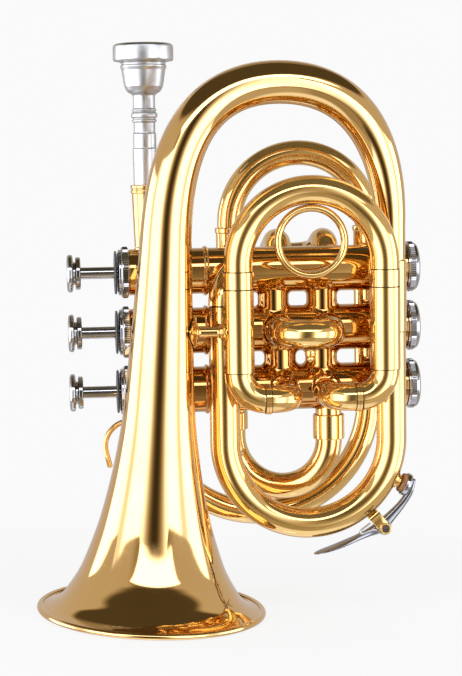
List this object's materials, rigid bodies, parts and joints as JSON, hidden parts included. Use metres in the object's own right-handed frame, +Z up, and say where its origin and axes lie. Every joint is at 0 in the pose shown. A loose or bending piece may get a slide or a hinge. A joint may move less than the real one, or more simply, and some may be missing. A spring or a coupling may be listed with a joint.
{
  "type": "pocket trumpet",
  "caption": "Pocket trumpet standing on its bell: piston valves pressed by buttons, tapering bell and bow, wound tubing, drawable slides, finger ring, water key and mouthpiece.",
  "frame": {"origin": "under the middle of the whole object's bounding box, at the height of the bell's rim", "axes": "+X from the valve buttons towards the valves' bottom caps, +Y away from the picture's viewer, +Z up, along the bell from its rim towards its bow"},
  "size_m": [0.1658, 0.1218, 0.2431],
  "materials": {
    "gold_lacquer": "polished, clear gold lacquer",
    "silver_plate": "polished silver or nickel plate",
    "black_felt": "soft black felt",
    "cork": "bare cork",
    "spring_steel": "drawn wire",
    "raw_brass": "bare machined brass"
  },
  "bodies": {
    "instrument": {"casing_1": "gold_lacquer", "top_cap_1": "silver_plate", "bottom_cap_1": "silver_plate", "valve_guide_1": "raw_brass", "valve_spring_1": "spring_steel", "felt_1": "black_felt", "casing_2": "gold_lacquer", "top_cap_2": "silver_plate", "bottom_cap_2": "silver_plate", "valve_guide_2": "raw_brass", "valve_spring_2": "spring_steel", "felt_2": "black_felt", "casing_3": "gold_lacquer", "top_cap_3": "silver_plate", "bottom_cap_3": "silver_plate", "valve_guide_3": "raw_brass", "valve_spring_3": "spring_steel", "felt_3": "black_felt", "knuckle_12_1": "gold_lacquer", "knuckle_12_2": "gold_lacquer", "knuckle_23_1": "gold_lacquer", "knuckle_23_2": "gold_lacquer", "mouthpiece_receiver": "gold_lacquer", "leadpipe": "gold_lacquer", "tuning_outer_near": "gold_lacquer", "return_ferrule": "gold_lacquer", "tuning_outer_far": "gold_lacquer", "return_bow": "gold_lacquer", "finger_hook": "gold_lacquer", "inlet_ferrule": "gold_lacquer", "bell": "gold_lacquer", "bell_bow": "gold_lacquer", "bell_loop": "gold_lacquer", "loop_sleeve": "gold_lacquer", "valve_elbow": "gold_lacquer", "key_saddle": "gold_lacquer", "key_screw": "silver_plate", "key_spring": "spring_steel", "third_outer_near": "gold_lacquer", "third_outer_far": "gold_lacquer", "second_outer_1": "gold_lacquer", "second_outer_2": "gold_lacquer", "first_outer_1": "gold_lacquer", "first_outer_2": "gold_lacquer", "bell_brace": "gold_lacquer"},
    "piston_body_1": {"piston_1": "silver_plate", "button_1": "silver_plate"},
    "piston_body_2": {"piston_2": "silver_plate", "button_2": "silver_plate"},
    "piston_body_3": {"piston_3": "silver_plate", "button_3": "silver_plate"},
    "tuning_slide": {"tuning_bow": "gold_lacquer"},
    "third_slide": {"third_bow": "gold_lacquer", "finger_ring": "gold_lacquer"},
    "second_slide": {"second_bow": "gold_lacquer", "second_knob": "gold_lacquer"},
    "first_slide": {"first_bow": "gold_lacquer"},
    "water_key": {"key_lever": "silver_plate", "key_cork": "cork"},
    "mouthpiece_body": {"mouthpiece": "silver_plate"}
  },
  "joints": [
    {"name": "valve_1_press", "type": "slide", "parent": "instrument", "child": "piston_body_1", "axis": [0.9984, 0, 0.057], "range_m": [0, 0.0145], "stiffness_N_per_m": 90, "springref_m": -0.02, "deforming": ["valve_spring_1"]},
    {"name": "valve_2_press", "type": "slide", "parent": "instrument", "child": "piston_body_2", "axis": [0.9984, 0, 0.057], "range_m": [0, 0.0145], "stiffness_N_per_m": 90, "springref_m": -0.02, "deforming": ["valve_spring_2"]},
    {"name": "valve_3_press", "type": "slide", "parent": "instrument", "child": "piston_body_3", "axis": [0.9984, 0, 0.057], "range_m": [0, 0.0145], "stiffness_N_per_m": 90, "springref_m": -0.02, "deforming": ["valve_spring_3"]},
    {"name": "tuning_slide_draw", "type": "slide", "parent": "instrument", "child": "tuning_slide", "axis": [-0.057, 0, 0.9984], "range_m": [0, 0.03]},
    {"name": "third_slide_draw", "type": "slide", "parent": "instrument", "child": "third_slide", "axis": [-0.057, 0, 0.9984], "range_m": [0, 0.02]},
    {"name": "second_slide_draw", "type": "slide", "parent": "instrument", "child": "second_slide", "axis": [0, -1, 0], "range_m": [0, 0.007]},
    {"name": "first_slide_draw", "type": "slide", "parent": "instrument", "child": "first_slide", "axis": [0.0167, 0.9563, -0.2919], "range_m": [0, 0.008]},
    {"name": "water_key_open", "type": "hinge", "parent": "instrument", "child": "water_key", "pos_m": [0.06624, -0.0012, 0.03688], "axis": [0, 1, 0], "range_deg": [0, 9], "stiffness_Nm_per_rad": 0.05, "springref_deg": -34.38, "deforming": ["key_spring"]},
    {"name": "mouthpiece_draw", "type": "slide", "parent": "instrument", "child": "mouthpiece_body", "axis": [-0.057, 0, 0.9984], "range_m": [0, 0.02]}
  ]
}
